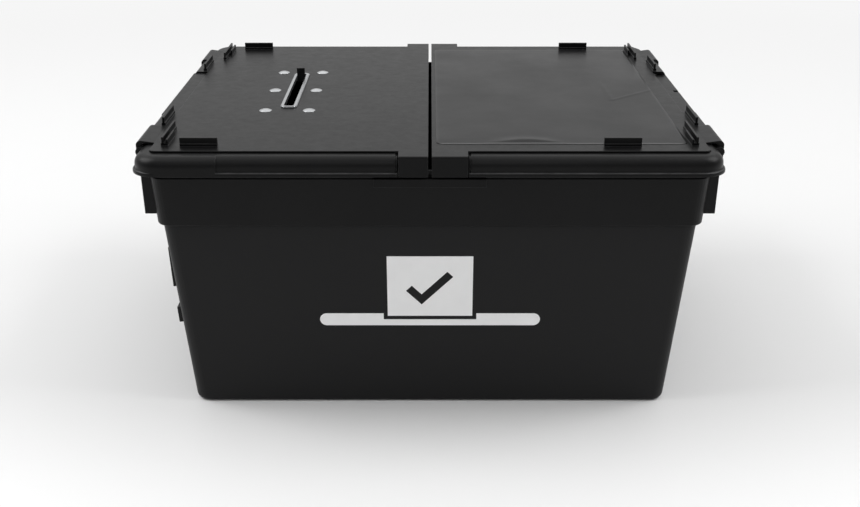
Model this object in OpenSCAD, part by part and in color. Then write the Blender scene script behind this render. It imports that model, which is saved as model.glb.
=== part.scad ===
// Ballot box: a moulded tub with two half lids that hinge on its left and right
// ends, and a metal slot with a sliding shutter in the left lid.
// X runs left to right, -Y is the front, Z = 0 is the floor.

/* [Overall] */
// Width over the rim lip, left to right
rim_w = 608; // [570:1:680]
// Depth over the rim lip, front to back
rim_d = 508; // [480:1:580]
// Height of the closed lid tops above the floor
lid_top = 304; // [220:1:400]

/* [Tub walls] */
// Thickness of the side walls
wall = 3.2; // [2.6:0.1:3.6]
// Thickness of the floor
floor_t = 3.6; // [2.5:0.1:6]
// Draft of the lower walls in degrees
draft = 4; // [2:0.5:5]
// Draft of the upper band in degrees
band_draft = 3; // [1:0.5:4]
// Height of the upper band, from its lower edge to its top ledge
band_h = 53; // [35:1:80]
// Step from the lower wall out to the band
band_step = 4.3; // [2.5:0.1:6]
// Radius of the band's lower edge
band_round = 1.6; // [1:0.1:2]
// Depth of the ledge on top of the band
ledge_step = 1; // [0.5:0.1:1.2]
// Height of the neck between the band's ledge and the rim
neck_h = 7.5; // [6:0.5:12]
// Corner radius of the walls
corner_r = 16; // [12:1:20]
// Radius of the rounded bottom edge
foot_r = 6; // [4:1:10]
// Depth of the shallow recess under the floor
sole_recess = 1.2; // [0.5:0.1:1.5]
// Width of the foot that is left round the sole recess
foot_w = 26; // [16:1:40]

/* [Rim] */
// Width of the rim from the tub's mouth out to the lip
rim_band_w = 18; // [17:0.5:20]
// Height of the rim from its lower edge up to the lid tops
rim_h = 21.5; // [20:0.5:26]
// How far the rim's top lies below the lid tops
rim_drop = 2; // [1:0.5:3]
// Extra drop of the right end of the rim
right_drop = 2.5; // [0:0.5:5]
// How much less the rim stands out at the two right corners
right_inset = 2; // [0:0.5:2]
// Radius of the rim's rounded upper edge
rim_round = 11; // [7:0.5:12]
// Radius of that edge between the hooks, where the rim is flat and flush with the lip
end_round = 2; // [0.5:0.5:4]
// Thickness of the rim's moulded skin
rim_skin = 2.8; // [2.2:0.1:3]
// How far the lip stands out from the rim's face
lip_out = 2.5; // [1.5:0.5:4]
// Height of the lip
lip_h = 4.4; // [2.5:0.1:6]
// Radius of the lip's rounded upper edge
lip_round = 2.4; // [0.5:0.1:2.5]
// Corner radius of the rim at the lip
rim_corner_r = 26; // [24:1:32]
// Length of the flush corner blocks at the left, along the front and the back
block_len = 88.5; // [70:0.5:120]
// Width of the ledge inside the mouth that the lids rest on
seat_w = 6.5; // [4:0.5:9]
// Thickness of that ledge
seat_t = 4.2; // [3:0.1:6]
// Length of the small notch in the outer edge of the rim's right end
gate_len = 8; // [5:0.5:15]
// Width of the notch
gate_w = 7; // [3:0.1:7.5]
// Depth of the notch
gate_depth = 1.6; // [0.5:0.1:1.8]
// Distance of the notch behind the middle of the box
gate_y = 12; // [0:1:60]

/* [Finger recesses] */
// Width of the finger recess under each pair of tongues, and of the pad below it
recess_w = 115; // [90:1:150]
// Depth of the recess into the neck
recess_d = 5.5; // [4.5:0.1:7]
// Height of the pad
pad_h = 9; // [6:0.5:14]
// How far the pad stands out from the band
pad_out = 3; // [1:0.1:4]
// How far the pad reaches above the band's ledge
pad_rise = 1; // [0:0.1:2]

/* [Card frame] */
// Width of the moulded card frame on the left end
card_w = 112; // [80:1:140]
// Height of the card frame
card_h = 46; // [30:1:80]
// How far the frame's ribs stand out from the wall
card_proud = 4.4; // [2:0.1:6]
// How much less they stand out at the frame's upper end
card_taper = 1.4; // [0:0.1:1.5]
// Width of the frame's ribs
card_rib = 3; // [2:0.1:5]
// Distance from the frame's front rib to the front lip of the rim
card_inset = 46; // [46:1:90]
// Height of the frame's lower edge above the floor
card_z = 141; // [110:1:160]
// Height of the two lugs below the frame
lug_h = 18; // [10:1:24]
// How far the lugs stand out from the wall
lug_proud = 5.5; // [2:0.1:6]
// Width of the two lugs
lug_w = 12; // [8:1:20]
// Gap between the lugs and the frame
lug_gap = 27; // [20:1:45]

/* [Hinges] */
// Diameter of the hinge pins
pin_d = 4; // [3:0.5:4.5]
// Diameter of the hinge knuckles and of the lugs that carry the pins
knuckle_d = 10; // [9:0.5:10.5]
// Depth of the pin centres below the lid tops
pin_drop = 9; // [8.5:0.5:10.5]
// How far the hooks stand out from the lip
hook_out = 1; // [1:0.1:1.5]
// Distance from the lip to the outer end of a hook
hook_inset = 47; // [46:1:60]
// Length of one hook along its pin
hook_len = 115; // [100:1:125]
// Length of the hook's taller outer part
tall_len = 57; // [50:1:60]
// Rise of the taller part above the lid tops
hook_rise = 2; // [0.5:0.5:3]
// Thickness of the hook's skin
hook_skin = 3; // [2:0.1:3.2]
// Shoulder radius of the taller part
tall_round = 5; // [3.5:0.5:5.5]
// Shoulder radius of the lower part
low_round = 5; // [4:0.5:9.5]
// How far the lower part of the hook lies inside the taller part
low_inset = 2.5; // [1.5:0.1:3]
// Depth of the hook's tip below the lid tops
hook_tip = 18; // [16:0.5:18.5]
// Gap between a hook and the pin lugs beside it
hook_gap = 0.5; // [0.3:0.1:1.5]
// Thickness of the pin lugs
pin_lug_t = 4; // [3:0.5:6]
// Play of a knuckle on its pin, on the radius
knuckle_play = 0.08; // [0.05:0.01:0.1]
// Play of a pin in its lugs, on the radius
pin_play = 0.03; // [0.02:0.01:0.05]
// Thickness of the end gussets under the rim
gusset_t = 3; // [2:0.5:4]
// Height of the end gussets below the rim
gusset_h = 51; // [30:1:60]
// Distance from the lip to a gusset's outer face
gusset_inset = 31; // [30.5:0.5:31]
// How far the gusset stays inside the lip
gusset_back = 5; // [4.5:0.5:9]
// How much further in its lower end is
gusset_lean = 0.6; // [0:0.1:2]

/* [Lids] */
// Thickness of the lid plates
lid_t = 3; // [2.4:0.1:3.4]
// Gap between the two lids
lid_split = 3.8; // [2:0.1:6]
// Gap round the lids in the mouth of the tub
lid_gap = 0.8; // [0.8:0.1:2]
// Gap between a lid and the ledge it rests on
seat_gap = 0.2; // [0.1:0.05:0.3]
// Gap below a lid where its hooks and tongues cross the tub's mouth wall
cut_gap = 1.5; // [1:0.1:2]
// Width of the left lid's tongues
tongue_w_left = 29.9; // [24:0.1:50]
// Width of the right lid's tongues
tongue_w_right = 36.4; // [24:0.1:50]
// Drop of the tongues' front plates below the lid tops
tongue_drop = 21.6; // [16:0.1:24]
// Thickness of the tongues' front plates
tongue_t = 3; // [2.4:0.1:4]
// How far the tongues' front plates stand out from the lip
tongue_out = 0; // [0:0.1:1]
// Radius of the tongues' outer upper edge
tongue_round = 2; // [0.5:0.5:2.4]
// Gap between the tongues and the rim beside them
tongue_gap = 1; // [0.8:0.1:3]
// Length of the lowered ends of the rim beside the tongues
end_step = 2.2; // [1:0.1:5]
// How much lower those ends are
end_step_d = 1.5; // [0.5:0.1:3]
// Height of the upright tabs and ribs on the lids
tab_h = 9; // [5:0.5:12]
// Length of the upright tabs
tab_len = 38.4; // [25:0.1:50]
// Thickness of the upright tabs
tab_t = 3; // [2:0.1:4]
// Distance from a lid's front or back edge to a tab's outer face
tab_edge = 15.7; // [12:0.1:20]
// Distance from the left lid's hinge edge to its tabs
tab_inset_left = 28.8; // [24:0.1:60]
// Distance from the right lid's hinge edge to its tabs
tab_inset_right = 68.2; // [24:0.1:90]
// How far the base of the tabs and ribs stands out
tab_base = 0.9; // [0.3:0.1:1.2]
// Height of that base above the lid
tab_base_h = 2.8; // [1.5:0.1:4]
// Length of the thin outer ribs
rib_len_thin = 49; // [30:1:50]
// Thickness of the thin outer ribs
rib_t_thin = 2.4; // [1.6:0.1:3]
// How far the thin ribs stand outside the lid plate's edge
rib_out_thin = 5.4; // [4:0.1:6]
// Length of the wide inner ribs
rib_len_wide = 60; // [40:1:60]
// Width of the wide ribs over both their walls
rib_w_wide = 6.4; // [5.6:0.1:7.5]
// Thickness of the wide ribs' two walls
rib_wall_wide = 2; // [1.6:0.1:2.4]
// Height of the wide ribs' lower, inner wall
rib_low_h = 6.5; // [4:0.5:9]
// Length of that inner wall
rib_low_len = 34; // [20:1:40]
// Distance from the hinge edge to the wide ribs
rib_inset_wide = 9.7; // [8:0.1:14]
// Distance from a lid's front or back edge to the wide ribs
rib_edge_wide = 17.9; // [16:0.1:24]
// Height of the stiffening ribs under the lids
under_rib_h = 6; // [3:0.5:8]
// Thickness of the stiffening ribs
under_rib_t = 2.5; // [1.6:0.1:4]
// Distance from the lid's edges to the first stiffening rib
under_rib_inset = 19; // [17:1:30]
// Gap between the ends of the stiffening ribs and the ledge in the mouth
under_rib_gap = 3; // [2:0.5:10]
// Spacing of the stiffening ribs under the right lid
under_rib_pitch = 58; // [40:1:80]

/* [Slot] */
// Distance of the slot from the middle of the box
slot_x = 162; // [150:1:175]
// Length of the slot inside its bezel
slot_len = 149; // [120:1:160]
// Width of the slot inside its bezel
slot_w = 11.4; // [10.6:0.1:14]
// Corner radius of the slot
slot_r = 2.5; // [1.5:0.1:4]
// Wall of the bezel's neck
bezel_wall = 1.4; // [1:0.1:2]
// Width of the bezel's rim beyond its neck
bezel_rim = 2.2; // [1.5:0.1:4]
// Height of the bezel's rim above the lid
bezel_h = 2; // [1.2:0.1:3]
// Width of the bevel on the bezel's rim
bezel_bevel = 0.7; // [0.3:0.1:1]
// Play of the bezel's neck in the lid
bezel_play = 0.1; // [0.05:0.05:0.2]

/* [Shutter] */
// Thickness of the shutter plate
shutter_t = 1.5; // [1:0.1:2]
// Width of the shutter plate
shutter_w = 33.6; // [28:0.1:36]
// Length of the shutter plate
shutter_len = 150; // [148:1:152]
// Play above and below the shutter plate
shutter_play = 0.4; // [0.3:0.1:0.6]
// Distance from the slot's rear end to the front edge of the open shutter
shutter_open = 15; // [10:1:30]
// Width of the shutter's finger tab
finger_w = 9.8; // [6:0.1:10]
// Height of the finger tab above the lid
finger_h = 12.5; // [8:0.5:16]
// Thickness of the guide rails' sheet metal
rail_t = 1.2; // [0.8:0.1:1.5]
// Width of the rails' lips under the shutter
rail_lip = 4.2; // [3:0.1:6]
// Width of the rails' riveted flanges
rail_flange = 12.6; // [12:0.1:16]
// Distance from the slot's middle to the rails' front ends
rail_front = 96; // [94:1:104]
// Distance from the slot's middle to the rails' rear ends
rail_rear = 213; // [210:1:213]

/* [Rivets] */
// Spacing of the rivets along the slot
rivet_pitch = 87; // [70:1:88]
// Diameter of the rivet heads
rivet_head_d = 14.5; // [10:0.5:15]
// Height of the rivet heads
rivet_head_h = 2; // [1.5:0.1:2.5]
// Diameter of the rivet shanks
rivet_d = 4.8; // [3:0.1:5]
// Diameter of the rivet tails
rivet_tail_d = 7.5; // [6:0.1:9]
// Height of the rivet tails
rivet_tail_h = 2; // [1:0.1:3]
// Play of the rivets in their holes, on the radius
rivet_play = 0.1; // [0.05:0.05:0.2]

/* [Film and sign] */
// Thickness of the document film on the right lid
film_t = 0.5; // [0.3:0.1:0.8]
// Distance from the lid's free edge to the film
film_inset_free = 4.6; // [3:0.1:12]
// Gap between the film and the wide ribs beside it
film_gap = 2.5; // [1:0.1:12]
// Distance from the lid's front and back edges to the film
film_inset_side = 22.8; // [20:0.1:40]
// Corner radius of the film
film_r = 6; // [2:0.5:12]
// Thickness of the sign on the front wall
sign_t = 0.3; // [0.2:0.1:0.5]
// Width of the sign's bar
sign_w = 240; // [180:1:280]
// Height of the sign's bar
sign_bar_h = 15; // [10:1:20]
// Width of the sign's ballot sheet
sheet_w = 92; // [70:1:110]
// Height of the ballot sheet above the bar
sheet_h = 70; // [56:1:76]
// Height of the bar's middle above the floor
sign_z = 108; // [80:1:125]
// Stroke width of the tick on the sheet
tick_w = 9; // [6:0.5:12]

/* [Hidden] */
$fn = 48;

// Small overlap where solids join or are cut through
over = 1;
rim_x = rim_w / 2;
rim_y = rim_d / 2;
mouth_x = rim_x - rim_band_w;
mouth_y = rim_y - rim_band_w;
mouth_r = rim_corner_r - rim_band_w;
rim_face = rim_corner_r - lip_out;
rim_run_x = rim_x - rim_corner_r;
rim_run_y = rim_y - rim_corner_r;
rim_low = lid_top - rim_h;
rim_top = lid_top - rim_drop;
ledge_z = rim_low - neck_h;
band_z = ledge_z - band_h;
band_tan = tan(band_draft);
wall_tan = tan(draft);
// Half-size of the walls' outside beyond the mouth, at the band's foot and at the floor
band_foot_out = wall - (rim_low - band_z) * band_tan;
wall_top_out = band_foot_out - band_step;
base_out = wall_top_out - band_z * wall_tan;
// Half-depth over the band's top, and the top of the pads there
band_y = mouth_y + wall - neck_h * band_tan;
pad_top = ledge_z + pad_rise;
// Height over which the inside widens at the band's foot
inner_step = 5;

pin_x = rim_x + hook_out - knuckle_d / 2;
pin_z = lid_top - pin_drop;
hook_end = rim_y - hook_inset;
hook_start = hook_end - hook_len;
hook_mid = hook_end - tall_len;
pin_from = hook_start - hook_gap - pin_lug_t + over;
pin_to = hook_end + hook_gap + pin_lug_t - over;
pocket_x = mouth_x + rim_skin;
cut_z = lid_top - lid_t - cut_gap;

lid_x = mouth_x - lid_gap;
lid_y = mouth_y - lid_gap;
lid_r = mouth_r - lid_gap;
split = lid_split / 2;
lid_low = lid_top - lid_t;
seat_top = lid_low - seat_gap;
tongue_y = rim_y + tongue_out;
notch_left = -(split + tongue_w_left + tongue_gap);
notch_right = split + tongue_w_right + tongue_gap;

rail_edge = shutter_w / 2 + shutter_play;
rail_low = lid_low - 2 * shutter_play - shutter_t;
rivet_x = rail_edge + rail_t + rail_flange / 2;
shutter_front = slot_len / 2 - shutter_open;

// Ring of points on a rounded rectangle, centred on the Z axis
function ring(hx, hy, r, z) = [
    for (q = [0:3], k = [0:8])
        let (a = q * 90 + k * 90 / 8,
             sx = (q == 0 || q == 3) ? 1 : -1,
             sy = (q < 2) ? 1 : -1)
        [sx * (hx - r) + r * cos(a), sy * (hy - r) + r * sin(a), z]
];

// Solid through a stack of rings that are given as [offset from the mouth, radius, z]
module stack(levels) {
    n = 36;
    last = len(levels) - 1;
    points = [for (v = levels) each ring(mouth_x + v[0], mouth_y + v[0], v[1], v[2])];
    sides = [
        for (j = [0:last - 1], i = [0:n - 1])
            [j * n + i, (j + 1) * n + i, (j + 1) * n + (i + 1) % n, j * n + (i + 1) % n]
    ];
    bottom = [for (i = [0:n - 1]) i];
    top = [for (i = [n - 1:-1:0]) last * n + i];
    polyhedron(points = points, faces = concat([bottom, top], sides), convexity = 6);
}

// Flat rounded rectangle from its half sizes
module plate_2d(hx, hy, r) {
    square([2 * hx, 2 * (hy - r)], center = true);
    square([2 * (hx - r), 2 * hy], center = true);
    for (sx = [-1, 1], sy = [-1, 1])
        translate([sx * (hx - r), sy * (hy - r)])
            circle(r);
}

// Upper outer quarter of a disc
module quarter(radius) {
    intersection() {
        circle(radius);
        square(radius);
    }
}

// Section of the rim, X outward from the corner's axis, for a given top, face, lip and
// edge radius; inward is how far that axis lies inside its usual place
module rim_section(top, face, lip, edge, solid, inward) {
    foot = mouth_r;
    hollow = foot + inward + rim_skin;
    bend = min(edge, top - rim_low - over);
    deep = max(bend, rim_skin);
    nose = min(lip_round, lip - face);
    difference() {
        union() {
            translate([foot, rim_low])
                square([face - foot - bend, top - rim_low]);
            translate([foot, rim_low])
                square([face - foot, top - rim_low - bend]);
            translate([face - bend, top - bend])
                quarter(bend);
            translate([face - over, rim_low])
                square([lip - face + over, lip_h - nose]);
            translate([face - over, rim_low])
                square([lip - face + over - nose, lip_h]);
            if (nose > 0)
                translate([lip - nose, rim_low + lip_h - nose])
                    quarter(nose);
        }
        if (!solid) {
            translate([hollow, rim_low - over])
                square([face - deep - hollow, top - rim_low + over - rim_skin]);
            translate([hollow, rim_low - over])
                square([face - rim_skin - hollow, top - rim_low + over - deep]);
            if (bend > rim_skin)
                translate([face - bend, top - bend])
                    quarter(bend - rim_skin);
        }
    }
}

// A length of rim along the front (turn = 0), right, back or left side
module rim_run(turn, from, to, top, face, lip, edge, solid, inward = 0) {
    reach = (turn % 180 == 0 ? rim_y : rim_x) - rim_corner_r - inward;
    rotate([0, 0, turn])
        translate([from, -reach, 0])
            rotate([90, 0, 90])
                mirror([1, 0, 0])
                    linear_extrude(to - from)
                        rim_section(top, face, lip, edge, solid, inward);
}

// One quarter-turn of rim at a corner
module rim_corner(sx, sy, face, lip, inward) {
    start = sx > 0 ? (sy > 0 ? 0 : 270) : (sy > 0 ? 90 : 180);
    translate([sx * (rim_x - rim_corner_r - inward), sy * (rim_y - rim_corner_r), 0])
        rotate([0, 0, start])
            rotate_extrude(angle = 90)
                rim_section(rim_top, face, lip, rim_round, false, inward);
}

// Space inside the tub's mouth
module mouth_space() {
    translate([0, 0, rim_low - over])
        linear_extrude(rim_h + 2 * over)
            plate_2d(mouth_x, mouth_y, mouth_r);
}

// Rim along the front, with the flush block at its left
module front_rim() {
    block_end = -(rim_x - block_len);
    left = notch_left - end_step;
    right = notch_right + end_step;
    low_top = rim_top - end_step_d;
    low_face = rim_face - end_step_d;
    lip = rim_corner_r;
    rim_run(0, -rim_run_x, left, rim_top, rim_face, lip, rim_round, false);
    rim_run(0, right, rim_run_x - right_inset, rim_top, rim_face, lip, rim_round, false);
    rim_run(0, -rim_run_x + lip_out, block_end, rim_top, lip, lip, rim_round, false);
    rim_run(0, block_end - rim_skin, block_end, rim_top, lip, lip, rim_round, true);
    // closed and lowered ends beside the notch for the tongues
    rim_run(0, left - rim_skin, left, rim_top, rim_face, lip, rim_round, true);
    rim_run(0, left, notch_left, low_top, low_face, lip, rim_round, true);
    rim_run(0, notch_right, right, low_top, low_face, lip, rim_round, true);
    rim_run(0, right, right + rim_skin, rim_top, rim_face, lip, rim_round, true);
    rim_corner(1, -1, rim_face, lip, right_inset);
    rim_corner(-1, -1, rim_face, lip, 0);
    rim_corner(-1, -1, lip, lip, lip_out);
}

module rim_ring() {
    lip = rim_corner_r;
    front_rim();
    mirror([0, 1, 0])
        front_rim();
    // the ends, between and outside the hooks
    for (turn = [90, 270]) {
        inward = turn == 90 ? right_inset : 0;
        end_top = rim_top - (turn == 90 ? right_drop : 0);
        near = hook_start - hook_gap;
        far = hook_end + hook_gap;
        rim_run(turn, -near, near, end_top, lip, lip, end_round, false);
        rim_run(turn, -rim_run_y, -far, rim_top, rim_face, lip, rim_round, false, inward);
        rim_run(turn, far, rim_run_y, rim_top, rim_face, lip, rim_round, false, inward);
    }
    // mouth wall behind the hooks
    for (sx = [-1, 1])
        translate([sx > 0 ? mouth_x : -pocket_x, -rim_run_y, rim_low])
            cube([rim_skin, 2 * rim_run_y, cut_z - rim_low]);
}

// Space that one hinge pin takes, from lug to lug
module pin_rod(sx, sy, radius) {
    translate([sx * pin_x, sy > 0 ? pin_from : -pin_to, pin_z])
        rotate([-90, 0, 0])
            cylinder(h = pin_to - pin_from, r = radius);
}

// Lugs that carry the hinge pins, each side of every hook
module pin_lugs() {
    lip = rim_corner_r;
    for (sx = [-1, 1], sy = [-1, 1], at = [hook_start - hook_gap - pin_lug_t, hook_end + hook_gap]) {
        y0 = sy > 0 ? at : -at - pin_lug_t;
        turn = sx > 0 ? 90 : 270;
        from = sx > 0 ? y0 : -y0 - pin_lug_t;
        translate([sx * pin_x, y0, pin_z])
            rotate([-90, 0, 0])
                cylinder(h = pin_lug_t, d = knuckle_d);
        translate([sx > 0 ? pocket_x - over : -pin_x, y0, rim_low])
            cube([pin_x - pocket_x + over, pin_lug_t, pin_z - rim_low]);
        if (at < hook_mid)
            rim_run(turn, from, from + pin_lug_t, rim_top - (sx > 0 ? right_drop : 0),
                    lip, lip, end_round, true);
        else
            rim_run(turn, from, from + pin_lug_t, rim_top,
                    rim_face, lip, rim_round, true, sx > 0 ? right_inset : 0);
    }
}

// Upright gussets under the rim at both ends
module gussets() {
    for (sx = [-1, 1], sy = [-1, 1]) {
        y0 = rim_y - gusset_inset - gusset_t;
        low = rim_low - gusset_h;
        foot = mouth_x + wall - (rim_low - low) * band_tan - wall / 2;
        mirror([sx < 0 ? 1 : 0, 0, 0])
            mirror([0, sy < 0 ? 1 : 0, 0])
                translate([0, y0 + gusset_t, 0])
                    rotate([90, 0, 0])
                        linear_extrude(gusset_t)
                            polygon([
                                [foot, low], [rim_x - gusset_back - gusset_lean, low],
                                [rim_x - gusset_back, rim_low + over],
                                [mouth_x + wall / 2, rim_low + over]
                            ]);
    }
}

// Upright rib of the card frame, less proud at its upper end
module card_upright() {
    rotate([-90, 0, 0])
        mirror([0, 1, 0])
            linear_extrude(card_rib)
                polygon([
                    [-card_proud, 0], [wall / 2, 0], [wall / 2, card_h],
                    [card_taper - card_proud, card_h]
                ]);
}

// Ribs of the card frame and its lugs, moulded on the left end wall
module card_frame() {
    front = rim_y - card_inset;
    translate([-(mouth_x + base_out), -front, 0])
        rotate([0, -draft, 0]) {
            for (y = [0, card_w - card_rib])
                translate([0, y, card_z])
                    card_upright();
            translate([-card_proud, 0, card_z])
                cube([card_proud + wall / 2, card_w, card_rib]);
            for (y = [card_rib, card_w - card_rib - lug_w])
                translate([-lug_proud, y, card_z - lug_gap - lug_h])
                    cube([lug_proud + wall / 2, lug_w, lug_h]);
        }
}

module tub_outside() {
    ledge_out = wall - neck_h * band_tan;
    stack([
        for (a = [0:22.5:90])
            let (z = foot_r * (1 - cos(a)), inset = foot_r * (1 - sin(a)))
            [base_out + z * wall_tan - inset, corner_r - inset, z],
        [wall_top_out, corner_r, band_z],
        for (a = [0:30:90])
            let (z = band_round * (1 - cos(a)), inset = band_round * (1 - sin(a)))
            [band_foot_out + z * band_tan - inset, corner_r - inset, band_z + z],
        [ledge_out, corner_r, ledge_z],
        [ledge_out - ledge_step, corner_r, ledge_z + ledge_step],
        [wall - ledge_step, corner_r, rim_low + over]
    ]);
}

module tub_inside() {
    inner_r = corner_r - wall;
    roll = max(foot_r - wall, over);
    stack([
        for (a = [0:30:90])
            let (z = floor_t + roll * (1 - cos(a)), inset = roll * (1 - sin(a)))
            [base_out + z * wall_tan - wall - inset, inner_r - inset / 2, z],
        [wall_top_out - wall, inner_r, band_z + over],
        [band_foot_out + inner_step * band_tan - wall, inner_r, band_z + inner_step],
        [0, inner_r, rim_low],
        [0, mouth_r, rim_low + 2 * over],
        [0, mouth_r, lid_top + over]
    ]);
}

module recess_cut(sy) {
    translate([-recess_w / 2, sy > 0 ? band_y - recess_d : -band_y - over, pad_top])
        cube([recess_w, recess_d + over, rim_low - pad_top]);
}

module recess_back(sy) {
    thick = wall + recess_d;
    translate([-recess_w / 2 - wall, sy > 0 ? band_y - thick : -band_y, pad_top - wall])
        cube([recess_w + 2 * wall, thick, rim_low - pad_top + wall]);
}

module finger_pad(sy) {
    translate([-recess_w / 2, sy > 0 ? band_y - wall / 2 : -band_y - pad_out, pad_top - pad_h])
        cube([recess_w, pad_out + wall / 2, pad_h]);
}

// Notch for the tongues, through the rim, its mouth wall and the ledge
module notch_cut(sy) {
    inner = mouth_y - seat_w - over;
    outer = rim_y + over;
    translate([notch_left, sy > 0 ? inner : -outer, rim_low])
        cube([notch_right - notch_left, outer - inner, rim_h + over]);
}

module lid_seat() {
    translate([0, 0, seat_top - seat_t])
        linear_extrude(seat_t)
            difference() {
                plate_2d(mouth_x + rim_skin / 2, mouth_y + rim_skin / 2, mouth_r);
                plate_2d(mouth_x - seat_w, mouth_y - seat_w, mouth_r);
            }
}

// Notch in the outer edge of the rim's right end
module gate_mark() {
    translate([rim_x - gate_w, gate_y - gate_len / 2, rim_top - right_drop - gate_depth])
        cube([gate_w + over, gate_len, gate_depth + over]);
}

module tub() {
    color([0.11, 0.11, 0.12])
        difference() {
            union() {
                difference() {
                    union() {
                        tub_outside();
                        card_frame();
                        gussets();
                    }
                    tub_inside();
                }
                for (sy = [-1, 1]) {
                    finger_pad(sy);
                    intersection() {
                        recess_back(sy);
                        tub_outside();
                    }
                }
                difference() {
                    rim_ring();
                    mouth_space();
                }
                lid_seat();
                difference() {
                    pin_lugs();
                    mouth_space();
                }
            }
            for (sy = [-1, 1]) {
                recess_cut(sy);
                notch_cut(sy);
            }
            for (sx = [-1, 1], sy = [-1, 1])
                pin_rod(sx, sy, pin_d / 2 + pin_play);
            gate_mark();
            translate([0, 0, -over])
                linear_extrude(over + sole_recess)
                    plate_2d(mouth_x + base_out - foot_w, mouth_y + base_out - foot_w, corner_r);
        }
}

// Section of a hook in X and Z, for one of its two parts
module hook_section(tall) {
    outer = rim_x + hook_out - (tall ? 0 : low_inset);
    bend = tall ? tall_round : low_round;
    top = lid_top + (tall ? hook_rise : 0);
    tip = lid_top - hook_tip;
    shoulder = mouth_x + 2 * rim_skin;
    inner_top = top - hook_skin;
    difference() {
        union() {
            polygon([
                [lid_x - over, lid_low], [shoulder, lid_low], [shoulder, inner_top],
                [outer - bend, inner_top], [outer - bend, top],
                [mouth_x, lid_top], [lid_x - over, lid_top]
            ]);
            translate([outer - hook_skin, tip])
                square([hook_skin, top - bend - tip]);
            translate([outer - bend, top - bend])
                difference() {
                    quarter(bend);
                    circle(bend - hook_skin);
                }
            translate([pin_x, pin_z])
                circle(d = knuckle_d);
            translate([pin_x - hook_skin / 2, pin_z])
                square([hook_skin, inner_top + over / 2 - pin_z]);
        }
        translate([pin_x, pin_z])
            circle(pin_d / 2 + knuckle_play);
    }
}

module hook(sy) {
    for (part = [0, 1]) {
        from = part == 0 ? hook_start : hook_mid;
        to = part == 0 ? hook_mid : hook_end;
        translate([0, sy > 0 ? to : -from, 0])
            rotate([90, 0, 0])
                linear_extrude(to - from)
                    hook_section(part == 1);
    }
}

// Outline of a lid with its hinge edge on the right, before it is mirrored
module lid_outline(tongue_w) {
    translate([split, -lid_y])
        square([lid_x - split - lid_r, 2 * lid_y]);
    translate([split, -lid_y + lid_r])
        square([lid_x - split, 2 * (lid_y - lid_r)]);
    for (sy = [-1, 1])
        translate([lid_x - lid_r, sy * (lid_y - lid_r)])
            circle(lid_r);
    translate([split, -tongue_y + tongue_round])
        square([tongue_w, 2 * (tongue_y - tongue_round)]);
}

// Section of a tongue's front plate, with its rounded upper edge
module tongue_section() {
    inner = tongue_y - tongue_round;
    translate([tongue_y - tongue_t, lid_top - tongue_drop])
        square([tongue_t, tongue_drop - tongue_round]);
    translate([inner - over, lid_low])
        square([over, lid_t]);
    translate([inner, lid_top - tongue_round])
        quarter(tongue_round);
}

// Upright plate on a lid, its corner and its size given in X and Y
module tab_plate(at, size, height) {
    translate([at.x, at.y, lid_top - over])
        cube([size.x, size.y, height + over]);
}

// Base under an upright plate, standing out by its own amounts in X and Y
module tab_foot(at, size, out) {
    tab_plate(at - out, size + 2 * out, tab_base_h);
}

// Wide rib of two walls, of which the inner one is lower and shorter
module wide_rib() {
    right = lid_x - rib_inset_wide;
    rear = lid_y - rib_edge_wide;
    outer_at = [right - rib_wall_wide, rear - rib_len_wide];
    inner_at = [right - rib_w_wide, rear - rib_low_len];
    tab_plate(outer_at, [rib_wall_wide, rib_len_wide], tab_h);
    tab_plate(inner_at, [rib_wall_wide, rib_low_len], rib_low_h);
    tab_plate(inner_at, [rib_w_wide, rib_low_len], tab_base_h);
    tab_foot(outer_at, [rib_wall_wide, rib_len_wide], [tab_base, 0]);
}

// Either lid, drawn for the right end
module lid_shell(tongue_w, tab_inset) {
    tab_at = [lid_x - tab_inset - tab_len, lid_y - tab_edge - tab_t];
    rib_at = [lid_x + rib_out_thin - rib_t_thin, (hook_start + hook_mid - rib_len_thin) / 2];
    translate([0, 0, lid_low])
        linear_extrude(lid_t)
            lid_outline(tongue_w);
    for (sy = [-1, 1]) {
        hook(sy);
        mirror([0, sy < 0 ? 1 : 0, 0]) {
            // front plate of the tongue
            translate([split, 0, 0])
                rotate([90, 0, 90])
                    linear_extrude(tongue_w)
                        tongue_section();
            tab_plate(tab_at, [tab_len, tab_t], tab_h);
            tab_foot(tab_at, [tab_len, tab_t], [0, tab_base]);
            tab_plate(rib_at, [rib_t_thin, rib_len_thin], tab_h);
            tab_foot(rib_at, [rib_t_thin, rib_len_thin], [tab_base, 0]);
            wide_rib();
        }
    }
}

// Stiffening rib under a lid, along Y
module under_rib(x) {
    reach = mouth_y - seat_w - under_rib_gap;
    translate([x, -reach, lid_low - under_rib_h])
        cube([under_rib_t, 2 * reach, under_rib_h + lid_t / 2]);
}

module slot_outline(extra, radius) {
    plate_2d(slot_w / 2 + extra, slot_len / 2 + extra, radius + extra);
}

module left_lid() {
    color([0.3, 0.3, 0.31])
        difference() {
            mirror([1, 0, 0])
                union() {
                    lid_shell(tongue_w_left, tab_inset_left);
                    under_rib(split);
                    under_rib(lid_x - under_rib_inset);
                    for (side = [-1, 1])
                        under_rib(slot_x + side * (rivet_x + rail_flange) - under_rib_t / 2);
                }
            translate([-slot_x, 0, lid_low - over])
                linear_extrude(lid_t + 2 * over)
                    slot_outline(bezel_wall + bezel_play, slot_r);
            for (side = [-1, 1], k = [-1:1])
                translate([-slot_x + side * rivet_x, k * rivet_pitch, lid_low - over])
                    cylinder(h = lid_t + 2 * over, d = rivet_d + 2 * rivet_play);
        }
}

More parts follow.
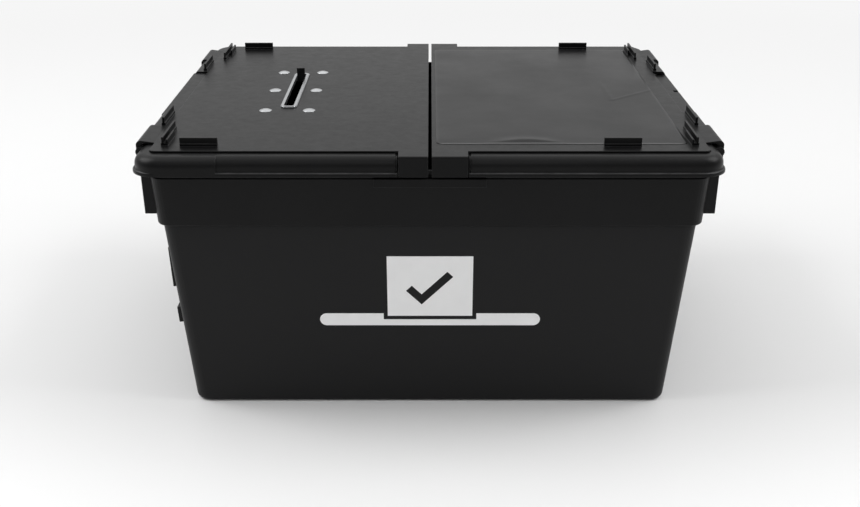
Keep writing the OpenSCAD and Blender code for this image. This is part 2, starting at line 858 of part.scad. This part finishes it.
module right_lid() {
    color([0.3, 0.3, 0.31]) {
        lid_shell(tongue_w_right, tab_inset_right);
        for (x = [split, lid_x - under_rib_inset])
            under_rib(x);
        last = lid_x - under_rib_inset - under_rib_pitch / 2;
        for (x = [under_rib_inset + under_rib_pitch:under_rib_pitch:last])
            under_rib(x);
    }
}

module hinge_pin(sx, sy) {
    color([0.7, 0.7, 0.72])
        pin_rod(sx, sy, pin_d / 2);
}

module left_front_hinge_pin() { hinge_pin(-1, -1); }

module left_rear_hinge_pin() { hinge_pin(-1, 1); }

module right_front_hinge_pin() { hinge_pin(1, -1); }

module right_rear_hinge_pin() { hinge_pin(1, 1); }

module slot_bezel() {
    color([0.82, 0.83, 0.84])
        translate([-slot_x, 0, 0])
            difference() {
                union() {
                    translate([0, 0, lid_low])
                        linear_extrude(lid_t + over)
                            slot_outline(bezel_wall, slot_r);
                    translate([0, 0, lid_top])
                        linear_extrude(bezel_h - bezel_bevel)
                            slot_outline(bezel_wall + bezel_rim, slot_r);
                    translate([0, 0, lid_top])
                        linear_extrude(bezel_h)
                            slot_outline(bezel_wall + bezel_rim - bezel_bevel, slot_r);
                }
                translate([0, 0, lid_low - over])
                    linear_extrude(lid_t + bezel_h + 2 * over)
                        slot_outline(0, slot_r);
            }
}

// Folded guide rail beside the slot, drawn for the right side of the slot
module guide_rail() {
    color([0.62, 0.63, 0.65])
        difference() {
            translate([0, rail_rear, 0])
                rotate([90, 0, 0])
                    linear_extrude(rail_rear + rail_front)
                        polygon([
                            [rail_edge, lid_low], [rail_edge + rail_t + rail_flange, lid_low],
                            [rail_edge + rail_t + rail_flange, lid_low - rail_t],
                            [rail_edge + rail_t, lid_low - rail_t],
                            [rail_edge + rail_t, rail_low - rail_t],
                            [rail_edge - rail_lip, rail_low - rail_t],
                            [rail_edge - rail_lip, rail_low], [rail_edge, rail_low]
                        ]);
            for (k = [-1:1])
                translate([rivet_x, k * rivet_pitch, lid_low - rail_t - over])
                    cylinder(h = rail_t + 2 * over, d = rivet_d + 2 * rivet_play);
        }
}

module left_guide_rail() {
    translate([-slot_x, 0, 0])
        mirror([1, 0, 0])
            guide_rail();
}

module right_guide_rail() {
    translate([-slot_x, 0, 0])
        guide_rail();
}

module slot_shutter() {
    low = lid_low - shutter_play - shutter_t;
    color([0.05, 0.05, 0.05])
        translate([-slot_x, shutter_front, low]) {
            translate([-shutter_w / 2, 0, 0])
                cube([shutter_w, shutter_len, shutter_t]);
            translate([-finger_w / 2, 0, 0])
                cube([finger_w, shutter_t, lid_top + finger_h - low]);
        }
}

module rivet() {
    dome_r = (pow(rivet_head_d / 2, 2) + pow(rivet_head_h, 2)) / (2 * rivet_head_h);
    rotate_extrude()
        intersection() {
            translate([0, rivet_head_h - dome_r])
                circle(dome_r, $fn = 96);
            square([rivet_head_d, rivet_head_h + over]);
        }
    translate([0, 0, -lid_t - rail_t - over])
        cylinder(h = lid_t + rail_t + 2 * over, d = rivet_d);
    translate([0, 0, -lid_t - rail_t - rivet_tail_h])
        cylinder(h = rivet_tail_h, d = rivet_tail_d);
}

module slot_rivets() {
    color([0.85, 0.86, 0.87])
        for (side = [-1, 1], k = [-1:1])
            translate([-slot_x + side * rivet_x, k * rivet_pitch, lid_top])
                rivet();
}

module document_film() {
    from = split + film_inset_free;
    to = lid_x - rib_inset_wide - rib_w_wide - film_gap;
    color([0.45, 0.45, 0.46])
        translate([(from + to) / 2, 0, lid_top])
            linear_extrude(film_t)
                plate_2d((to - from) / 2, lid_y - film_inset_side, film_r);
}

// Ballot sheet with a tick, half way into a wide slot
module sign_2d() {
    rise = sign_bar_h / 2;
    gap = tick_w / 2;
    difference() {
        union() {
            square([sign_w - sign_bar_h, sign_bar_h], center = true);
            for (side = [-1, 1])
                translate([side * (sign_w - sign_bar_h) / 2, 0])
                    circle(d = sign_bar_h);
        }
        translate([-sheet_w / 2 - gap, 0])
            square([sheet_w + 2 * gap, sign_bar_h]);
    }
    difference() {
        translate([-sheet_w / 2, gap])
            square([sheet_w, rise + sheet_h - gap]);
        // the tick, cut out of the sheet
        translate([-tick_w, rise + sheet_h / 4])
            for (arm = [[135, 24], [45, 48]])
                rotate(arm[0])
                    translate([-tick_w / 2, -tick_w / 2])
                        square([arm[1], tick_w]);
    }
}

module front_sign() {
    front = mouth_y + base_out;
    color([0.86, 0.86, 0.86])
        translate([0, -front, 0])
            rotate([90 + draft, 0, 0])
                translate([0, sign_z / cos(draft), 0])
                    linear_extrude(sign_t)
                        sign_2d();
}

tub();
left_lid();
right_lid();
left_front_hinge_pin();
left_rear_hinge_pin();
right_front_hinge_pin();
right_rear_hinge_pin();
slot_bezel();
left_guide_rail();
right_guide_rail();
slot_shutter();
slot_rivets();
document_film();
front_sign();
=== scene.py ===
# A black moulded ballot box in a plain studio. Lengths are in metres, in the part's own frame:
# +X to the right end, -Y to the front, Z = 0 on the floor.
import math

import bpy
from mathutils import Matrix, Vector


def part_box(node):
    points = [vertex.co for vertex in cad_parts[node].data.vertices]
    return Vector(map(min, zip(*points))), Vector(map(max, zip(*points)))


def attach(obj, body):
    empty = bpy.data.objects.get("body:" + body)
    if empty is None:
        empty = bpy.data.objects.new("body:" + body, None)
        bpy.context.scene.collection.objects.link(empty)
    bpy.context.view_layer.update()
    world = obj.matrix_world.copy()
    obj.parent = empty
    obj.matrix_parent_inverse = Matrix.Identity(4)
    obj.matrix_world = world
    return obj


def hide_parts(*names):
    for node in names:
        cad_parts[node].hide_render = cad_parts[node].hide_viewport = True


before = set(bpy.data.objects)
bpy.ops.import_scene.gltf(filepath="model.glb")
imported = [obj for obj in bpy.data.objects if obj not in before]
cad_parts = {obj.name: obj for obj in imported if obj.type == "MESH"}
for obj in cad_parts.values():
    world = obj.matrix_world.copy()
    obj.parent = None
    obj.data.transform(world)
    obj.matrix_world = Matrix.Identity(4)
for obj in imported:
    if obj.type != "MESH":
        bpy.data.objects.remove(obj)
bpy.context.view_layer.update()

# The photograph's camera: its focal length in pixels, its place and its pitch
FRAME_WIDTH_PX = 860
FOCAL_PX = 1100
SENSOR_MM = 36
CAMERA_BACK = 1.2975
CAMERA_ABOVE_LIDS = 0.3476
CAMERA_PITCH_DEG = 23.435

# The tub's walls are grained up to this height, above which the band is smooth; below it the
# walls are also painted lighter, as light bounced up from the floor
WALL_TOP = 0.222
WALL_WITH_PAINTED_BOUNCE = (0.0178, 0.0178, 0.0181)
GRAINED_SPECULAR = 0.08

# Painted highlights on the plastic: along its sharp edges, and along the round of the lip between
# these heights
PAINTED_HIGHLIGHT = (0.048, 0.048, 0.049)
EDGE_HIGHLIGHT_RADIUS = 0.0008
LIP_ROUND = (0.2843, 0.2870)
LIP_FACING_UP = (0.5, 0.9)
LIP_HIGHLIGHT_STRENGTH = 0.8

# How round the edges look: those of the mouldings, of metal and of what is thin
MOULDED_ROUND = 0.0010
METAL_ROUND = 0.0004
THIN_ROUND = 0.0001

# The document film on the right lid, and the painted highlight along its cut edge, weaker on its
# sides
FILM_T = 0.0003
FILM_CORNER = 0.006
FILM_REST = 0.00005
FILM_STEP = 0.002
FILM_FLAT_EDGE = 0.02
CUT_EDGE_HIGHLIGHT = (0.13, 0.13, 0.13)
CUT_EDGE_HIGHLIGHT_WIDTH = 0.0035
CUT_EDGE_HIGHLIGHT_AT_SIDES = 0.1

# The film's shallow fold, whose crest runs behind the front edge, and its faint crease
FOLD_HEIGHT = 0.0018
FOLD_X = 0.100
FOLD_HALF_WIDTH = 0.055
FOLD_BACK = 0.0095
FOLD_BEHIND = 0.010
CREASE_HEIGHT = 0.0003
CREASE_HALF_WIDTH = 0.0025
CREASE_BACK = (0.210, 0.040)
CREASE_TIP = (0.213, -0.045)
CREASE_END = (0.271, 0.003)

# The studio: the floor's grey at places along Y, with painted shade in front of the box, which
# the walls mirror, and painted light behind it, where the lamps reach less; what it fades to away
# from the box, a world that is lighter up and behind, and each lamp's place, size and power, with
# their aim
FLOOR_SIZE = 60
FLOOR_PAINTED_SHADING = ((-1.2, 0.52), (-0.45, 0.69), (0.4, 0.63), (2.2, 0.73))
FLOOR_FADE = (0.9, 2.4)
FLOOR_PALE = 0.92
WORLD_BRIGHT_SIDE = (0, 0.8, 0.6)
WORLD_LOW = 0.22
WORLD_HIGH = 0.84
LAMPS = {
    "key_lamp": ((-2.3, -0.1, 2.4), 1.8, 62),
    "fill_lamp": ((2.3, -0.1, 2.5), 1.8, 54),
    "top_lamp": ((0.0, 0.85, 3.3), 5.6, 54),
    "front_lamp": ((0.0, -2.6, 2.4), 1.6, 8),
}
LAMPS_AIM = (0, 0, 0.15)


def node_tree(name):
    """A new material, with its node tree and its Principled shader."""
    material = bpy.data.materials.new(name)
    material.use_nodes = True
    tree = material.node_tree
    shader = tree.nodes["Principled BSDF"]
    return material, tree, shader


def add(tree, kind, **values):
    """A node of that kind, with its properties or its input sockets set."""
    made = tree.nodes.new(kind)
    for key, value in values.items():
        if key in made.inputs:
            made.inputs[key].default_value = value
        else:
            setattr(made, key, value)
    return made


def scaled_position(tree, scale):
    """Object coordinates times a scale for each axis."""
    coordinates = add(tree, "ShaderNodeTexCoord")
    mapping = add(tree, "ShaderNodeMapping", Scale=scale)
    tree.links.new(coordinates.outputs["Object"], mapping.inputs["Vector"])
    return mapping.outputs["Vector"]


def noise(tree, scale, detail=3.0, roughness=0.55, stretch=(1, 1, 1)):
    """A noise value in 0 to 1 over the object, scale being its features per metre."""
    texture = add(tree, "ShaderNodeTexNoise", Scale=scale, Detail=detail, Roughness=roughness)
    tree.links.new(scaled_position(tree, stretch), texture.inputs["Vector"])
    return texture.outputs["Fac"]


def ramp(tree, value, low, high, low_out, high_out):
    """Maps a value from one range to another."""
    made = add(tree, "ShaderNodeMapRange")
    made.inputs["From Min"].default_value = low
    made.inputs["From Max"].default_value = high
    made.inputs["To Min"].default_value = low_out
    made.inputs["To Max"].default_value = high_out
    tree.links.new(value, made.inputs["Value"])
    return made.outputs["Result"]


def math_node(tree, operation, first, second):
    """Two values joined by one operation."""
    made = add(tree, "ShaderNodeMath", operation=operation)
    tree.links.new(first, made.inputs[0])
    tree.links.new(second, made.inputs[1])
    return made.outputs["Value"]


def axis_of(tree, vector, axis):
    """One axis of a vector."""
    made = add(tree, "ShaderNodeSeparateXYZ")
    tree.links.new(vector, made.inputs["Vector"])
    return made.outputs[axis]


def within(tree, value, low, high):
    """1 where the value lies between the two bounds, else 0."""
    made = add(tree, "ShaderNodeMath", operation="COMPARE")
    tree.links.new(value, made.inputs[0])
    made.inputs[1].default_value = (low + high) / 2
    made.inputs[2].default_value = (high - low) / 2
    return made.outputs["Value"]


def blend_colours(tree, value, first, second):
    """The first colour, or the one linked in its place, where the value is 0, and the second
    where it is 1."""
    mix = tree.nodes.new("ShaderNodeMix")
    mix.data_type = "RGBA"
    if isinstance(first, tuple):
        mix.inputs["A"].default_value = (*first, 1)
    else:
        tree.links.new(first, mix.inputs["A"])
    mix.inputs["B"].default_value = (*second, 1)
    tree.links.new(value, mix.inputs["Factor"])
    return mix.outputs["Result"]


def round_edges(tree, radius):
    """Normals of edges that look rounded with that radius."""
    return add(tree, "ShaderNodeBevel", samples=6, Radius=radius).outputs["Normal"]


def painted_edge_highlight(tree):
    """Mask of the painted highlight: 1 at sharp edges and 0 on the faces."""
    normal = round_edges(tree, EDGE_HIGHLIGHT_RADIUS)
    lean = add(tree, "ShaderNodeVectorMath", operation="DOT_PRODUCT")
    tree.links.new(normal, lean.inputs[0])
    tree.links.new(add(tree, "ShaderNodeNewGeometry").outputs["Normal"], lean.inputs[1])
    return ramp(tree, lean.outputs["Value"], 0.98, 0.78, 0, 1)


def painted_lip_highlight(tree, height):
    """How strong the painted highlight on the round of the lip is, and 0 off it."""
    up = axis_of(tree, add(tree, "ShaderNodeNewGeometry").outputs["Normal"], "Z")
    on_round = within(tree, height, *LIP_ROUND)
    on_lip = math_node(tree, "MULTIPLY", on_round, within(tree, up, *LIP_FACING_UP))
    return ramp(tree, on_lip, 0, 1, 0, LIP_HIGHLIGHT_STRENGTH)


def bumps(tree, shader, layers, normal):
    """Stacks bump nodes on the given normal, each as a value, a distance in metres and a
    strength."""
    for value, distance, strength in layers:
        bump = add(tree, "ShaderNodeBump", Strength=strength, Distance=distance)
        tree.links.new(value, bump.inputs["Height"])
        tree.links.new(normal, bump.inputs["Normal"])
        normal = bump.outputs["Normal"]
    tree.links.new(normal, shader.inputs["Normal"])


def moulded_plastic(name, dark, light, rough, specular, grain, tub):
    """Black polypropylene: a fine grain, cloudy colour, scuffed gloss and a painted highlight on
    its sharp edges, broken up in patches. The tub's has its grained walls, painted lighter as
    light bounced up from the floor, and a painted highlight on the round of its lip as well."""
    material, tree, shader = node_tree(name)
    cloud = noise(tree, 9, detail=4)
    colour = blend_colours(tree, ramp(tree, cloud, 0.3, 0.7, 0, 1), dark, light)
    rubbed_and_highlit = painted_edge_highlight(tree)
    shader.inputs["Specular IOR Level"].default_value = specular
    if tub:
        height = axis_of(tree, scaled_position(tree, (1, 1, 1)), "Z")
        # Below the band the walls are less glossy, and painted lighter as light bounced up from
        # the floor
        grain_and_bounce = ramp(tree, height, WALL_TOP - 0.001, WALL_TOP, 1, 0)
        colour = blend_colours(tree, grain_and_bounce, colour, WALL_WITH_PAINTED_BOUNCE)
        shine = ramp(tree, grain_and_bounce, 0, 1, specular, GRAINED_SPECULAR)
        tree.links.new(shine, shader.inputs["Specular IOR Level"])
        # The lip's round gets the painted highlight as well
        rubbed_and_highlit = math_node(tree, "MAXIMUM", rubbed_and_highlit, painted_lip_highlight(tree, height))
    # Painted highlight: a lighter colour along the sharp edges and the lip's round, broken up in
    # patches
    patchy = ramp(tree, noise(tree, 55, detail=3), 0.35, 0.6, 0.5, 1)
    highlight_mask = math_node(tree, "MULTIPLY", rubbed_and_highlit, patchy)
    colour = blend_colours(tree, highlight_mask, colour, PAINTED_HIGHLIGHT)
    tree.links.new(colour, shader.inputs["Base Color"])
    scuff = noise(tree, 120, detail=5, roughness=0.7, stretch=(0.8, 1, 1))
    gloss = ramp(tree, scuff, 0.35, 0.7, rough - 0.03, rough + 0.04)
    tree.links.new(gloss, shader.inputs["Roughness"])
    fine = (noise(tree, 1400, detail=2), 0.00004, grain)
    coarse = (noise(tree, 280, detail=3), 0.00007, 0.4)
    bumps(tree, shader, [fine, coarse], round_edges(tree, MOULDED_ROUND))
    return material


def metal(name, base, shade, rough, brushed):
    """Bright metal with fine marks drawn along Y."""
    material, tree, shader = node_tree(name)
    marks = noise(tree, 900, detail=3, stretch=(1, brushed, 1))
    colour = blend_colours(tree, ramp(tree, noise(tree, 40), 0.3, 0.7, 0, 1), base, shade)
    tree.links.new(colour, shader.inputs["Base Color"])
    gloss = ramp(tree, marks, 0.3, 0.7, rough - 0.06, rough + 0.08)
    tree.links.new(gloss, shader.inputs["Roughness"])
    shader.inputs["Metallic"].default_value = 1
    bumps(tree, shader, [(marks, 0.00003, 0.5)], round_edges(tree, METAL_ROUND))
    return material


def shutter_paint():
    """Black paint on sheet metal, with a slight orange peel and rubbed patches."""
    material, tree, shader = node_tree("shutter_paint")
    rubbed_and_highlit = noise(tree, 70, detail=5, stretch=(1, 0.15, 1))
    colour = blend_colours(
        tree, ramp(tree, rubbed_and_highlit, 0.45, 0.75, 0, 1), (0.004, 0.004, 0.0045), (0.012, 0.012, 0.0125)
    )
    tree.links.new(colour, shader.inputs["Base Color"])
    tree.links.new(ramp(tree, rubbed_and_highlit, 0.4, 0.7, 0.5, 0.36), shader.inputs["Roughness"])
    shader.inputs["Specular IOR Level"].default_value = 0.12
    peel = (noise(tree, 700, detail=1), 0.00008, 0.5)
    bumps(tree, shader, [peel], round_edges(tree, METAL_ROUND))
    return material


def film_plastic():
    """Thin clear film that lies on the black lid, so that it looks like a dark glossy skin, with
    a painted highlight along its cut edge."""
    material, tree, shader = node_tree("film_plastic")
    haze = noise(tree, 14, detail=4)
    colour = blend_colours(
        tree, ramp(tree, haze, 0.3, 0.7, 0, 1), (0.004, 0.004, 0.0042), (0.006, 0.006, 0.0063)
    )
    # Painted highlight along the film's cut edge
    edge = add(tree, "ShaderNodeAttribute", attribute_name="cut_edge_highlight").outputs["Fac"]
    colour = blend_colours(tree, edge, colour, CUT_EDGE_HIGHLIGHT)
    tree.links.new(colour, shader.inputs["Base Color"])
    tree.links.new(ramp(tree, haze, 0.3, 0.7, 0.36, 0.29), shader.inputs["Roughness"])
    shader.inputs["Specular IOR Level"].default_value = 0.12
    ripple = (noise(tree, 22, detail=2), 0.0004, 0.3)
    bumps(tree, shader, [ripple], round_edges(tree, THIN_ROUND))
    return material


def vinyl():
    """White vinyl with a faint mottle and the grain of the wall showing through."""
    material, tree, shader = node_tree("sign_vinyl")
    mottle = noise(tree, 45, detail=4)
    colour = blend_colours(
        tree, ramp(tree, mottle, 0.3, 0.7, 0, 1), (0.93, 0.93, 0.93), (0.96, 0.96, 0.96)
    )
    tree.links.new(colour, shader.inputs["Base Color"])
    tree.links.new(ramp(tree, mottle, 0.3, 0.7, 0.42, 0.55), shader.inputs["Roughness"])
    grain = (noise(tree, 1100, detail=2), 0.00004, 0.5)
    bumps(tree, shader, [grain], round_edges(tree, THIN_ROUND))
    return material


def set_material(piece, material):
    """One material over the whole of a piece."""
    piece.data.materials.clear()
    piece.data.materials.append(material)
    for face in piece.data.polygons:
        face.material_index = 0


def distance_to_stretch(x, y, start, end):
    """Distance from a point to a straight stretch, and how far along it the nearest place is."""
    dx, dy = end[0] - start[0], end[1] - start[1]
    along = ((x - start[0]) * dx + (y - start[1]) * dy) / (dx * dx + dy * dy)
    along = min(1, max(0, along))
    return math.hypot(x - start[0] - along * dx, y - start[1] - along * dy), along


def film_height(x, y, from_edge, front):
    """Height of the film above the lid: soft waves, the fold at the front edge and the crease,
    which fades out at its rear end."""
    fold = 0
    across = (x - FOLD_X) / FOLD_HALF_WIDTH
    if abs(across) < 1:
        rise = math.cos(across * math.pi / 2) ** 2
        crest = FOLD_BACK * rise
        inward = y - front
        if inward < crest:
            fold = FOLD_HEIGHT * rise * inward / crest
        else:
            fold = FOLD_HEIGHT * rise * math.exp(-(((inward - crest) / FOLD_BEHIND) ** 2))
    first, along_first = distance_to_stretch(x, y, CREASE_BACK, CREASE_TIP)
    second, along_second = distance_to_stretch(x, y, CREASE_TIP, CREASE_END)
    near, fade = (first, along_first) if first < second else (second, 1)
    crease = CREASE_HEIGHT * math.exp(-((near / CREASE_HALF_WIDTH) ** 2)) * min(1, 3 * fade)
    wave = 0.0002 * (1 + math.sin(31 * x + 1.1) * math.sin(19 * y + 0.4))
    return FILM_REST + wave * min(1, from_edge / FILM_FLAT_EDGE) + fold + crease


def document_film():
    """The film as one grid with rounded corners, thickened downward."""
    low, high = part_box("document_film")
    rows = round((high.y - low.y) / FILM_STEP)
    columns = round((high.x - low.x) / FILM_STEP)
    points = []
    cut_edge_highlight = []
    for j in range(rows + 1):
        y = low.y + (high.y - low.y) * j / rows
        from_end = min(y - low.y, high.y - y)
        short = max(0, FILM_CORNER - from_end)
        inset = FILM_CORNER - math.sqrt(FILM_CORNER**2 - short**2)
        for i in range(columns + 1):
            x = low.x + inset + (high.x - low.x - 2 * inset) * i / columns
            from_edge = min(from_end, x - low.x - inset, high.x - inset - x)
            points.append((x, y, low.z + FILM_T + film_height(x, y, from_edge, low.y)))
            # A painted highlight along the film's cut edge, weaker along its sides
            light = CUT_EDGE_HIGHLIGHT_AT_SIDES if y - low.y > from_edge else 1
            cut_edge_highlight.append(light * max(0, 1 - from_edge / CUT_EDGE_HIGHLIGHT_WIDTH))
    faces = []
    for j in range(rows):
        for i in range(columns):
            a = j * (columns + 1) + i
            faces.append((a, a + 1, a + columns + 2, a + columns + 1))
    mesh = bpy.data.meshes.new("creased_film")
    mesh.from_pydata(points, [], faces)
    mesh.attributes.new("cut_edge_highlight", "FLOAT", "POINT").data.foreach_set("value", cut_edge_highlight)
    piece = bpy.data.objects.new("creased_film", mesh)
    bpy.context.scene.collection.objects.link(piece)
    for face in mesh.polygons:
        face.use_smooth = True
    thicken = piece.modifiers.new("thickness", "SOLIDIFY")
    thicken.thickness = FILM_T
    thicken.offset = -1
    set_material(piece, film_plastic())
    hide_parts("document_film")
    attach(piece, "right_lid")
    return piece


def far_from_box(tree, shader):
    """The lamps don't reach the floor far from the box, so what sees or mirrors it there finds
    it in the pale colour that it has nearer to them."""
    away = add(tree, "ShaderNodeVectorMath", operation="LENGTH")
    tree.links.new(scaled_position(tree, (1, 1, 1)), away.inputs[0])
    far = ramp(tree, away.outputs["Value"], *FLOOR_FADE, 0, 1)
    path = add(tree, "ShaderNodeLightPath").outputs
    seen = math_node(tree, "MAXIMUM", path["Is Camera Ray"], path["Is Glossy Ray"])
    seen = math_node(tree, "MAXIMUM", seen, path["Is Transmission Ray"])
    pale = add(tree, "ShaderNodeEmission", Strength=FLOOR_PALE)
    mix = add(tree, "ShaderNodeMixShader")
    tree.links.new(math_node(tree, "MULTIPLY", far, seen), mix.inputs[0])
    tree.links.new(shader.outputs["BSDF"], mix.inputs[1])
    tree.links.new(pale.outputs["Emission"], mix.inputs[2])
    tree.links.new(mix.outputs["Shader"], tree.nodes["Material Output"].inputs["Surface"])


def studio():
    """Pale floor with painted shading along Y, pale world and soft lamps."""
    bpy.ops.mesh.primitive_plane_add(size=FLOOR_SIZE)
    floor = bpy.context.object
    floor.name = "floor"
    material, tree, shader = node_tree("floor_with_painted_shading")
    # The floor is painted darker in front of the box as painted shade, and lighter behind as
    # painted light
    along = axis_of(tree, scaled_position(tree, (1, 1, 1)), "Y")
    first, last = FLOOR_PAINTED_SHADING[0][0], FLOOR_PAINTED_SHADING[-1][0]
    painted_shading = add(tree, "ShaderNodeValToRGB")
    stops = painted_shading.color_ramp.elements
    while len(stops) < len(FLOOR_PAINTED_SHADING):
        stops.new(0.5)
    for stop, (place, shade) in zip(stops, FLOOR_PAINTED_SHADING):
        stop.position = (place - first) / (last - first)
        stop.color = (shade, shade, shade, 1)
    tree.links.new(ramp(tree, along, first, last, 0, 1), painted_shading.inputs["Fac"])
    tree.links.new(painted_shading.outputs["Color"], shader.inputs["Base Color"])
    shader.inputs["Roughness"].default_value = 0.9
    shader.inputs["Specular IOR Level"].default_value = 0.1
    far_from_box(tree, shader)
    set_material(floor, material)

    world = bpy.data.worlds.new("studio")
    bpy.context.scene.world = world
    world.use_nodes = True
    tree = world.node_tree
    light = tree.nodes["Background"]
    light.inputs["Color"].default_value = (1, 1, 1, 1)
    towards = add(tree, "ShaderNodeVectorMath", operation="DOT_PRODUCT")
    towards.inputs[1].default_value = WORLD_BRIGHT_SIDE
    tree.links.new(add(tree, "ShaderNodeTexCoord").outputs["Generated"], towards.inputs[0])
    strength = ramp(tree, towards.outputs["Value"], -0.4, 1, WORLD_LOW, WORLD_HIGH)
    tree.links.new(strength, light.inputs["Strength"])

    for name, (place, size, power) in LAMPS.items():
        data = bpy.data.lights.new(name, "AREA")
        data.size = size
        data.energy = power
        lamp = bpy.data.objects.new(name, data)
        bpy.context.scene.collection.objects.link(lamp)
        lamp.location = place
        aim = Vector(LAMPS_AIM) - Vector(place)
        lamp.rotation_mode = "QUATERNION"
        lamp.rotation_quaternion = aim.to_track_quat("-Z", "Y")


def camera():
    """The photograph's view."""
    data = bpy.data.cameras.new("camera")
    data.sensor_width = SENSOR_MM
    data.lens = SENSOR_MM * FOCAL_PX / FRAME_WIDTH_PX
    made = bpy.data.objects.new("camera", data)
    bpy.context.scene.collection.objects.link(made)
    lid_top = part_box("document_film")[0].z
    made.location = (0, -CAMERA_BACK, lid_top + CAMERA_ABOVE_LIDS)
    made.rotation_euler = (math.radians(90 - CAMERA_PITCH_DEG), 0, 0)
    bpy.context.scene.camera = made


camera()
studio()

tub_plastic = moulded_plastic(
    "tub_plastic", (0.0034, 0.0034, 0.0035), (0.0046, 0.0046, 0.0048), 0.38, 0.155, 0.5, True
)
lid_plastic = moulded_plastic(
    "lid_plastic", (0.0028, 0.0028, 0.0029), (0.0042, 0.0042, 0.0044), 0.36, 0.14, 0.4, False
)
bright_metal = metal("bright_metal", (0.50, 0.51, 0.52), (0.42, 0.43, 0.44), 0.30, 1)
rail_metal = metal("rail_metal", (0.60, 0.61, 0.62), (0.50, 0.51, 0.52), 0.38, 0.05)
pin_metal = metal("pin_metal", (0.56, 0.56, 0.57), (0.46, 0.46, 0.47), 0.32, 0.05)
FINISHES = {
    "tub": tub_plastic,
    "left_lid": lid_plastic,
    "right_lid": lid_plastic,
    "left_front_hinge_pin": pin_metal,
    "left_rear_hinge_pin": pin_metal,
    "right_front_hinge_pin": pin_metal,
    "right_rear_hinge_pin": pin_metal,
    "slot_bezel": bright_metal,
    "left_guide_rail": rail_metal,
    "right_guide_rail": rail_metal,
    "slot_shutter": shutter_paint(),
    "slot_rivets": bright_metal,
    "front_sign": vinyl(),
}
for node, finish in FINISHES.items():
    set_material(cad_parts[node], finish)

document_film()

bpy.context.scene.view_settings.view_transform = "Standard"
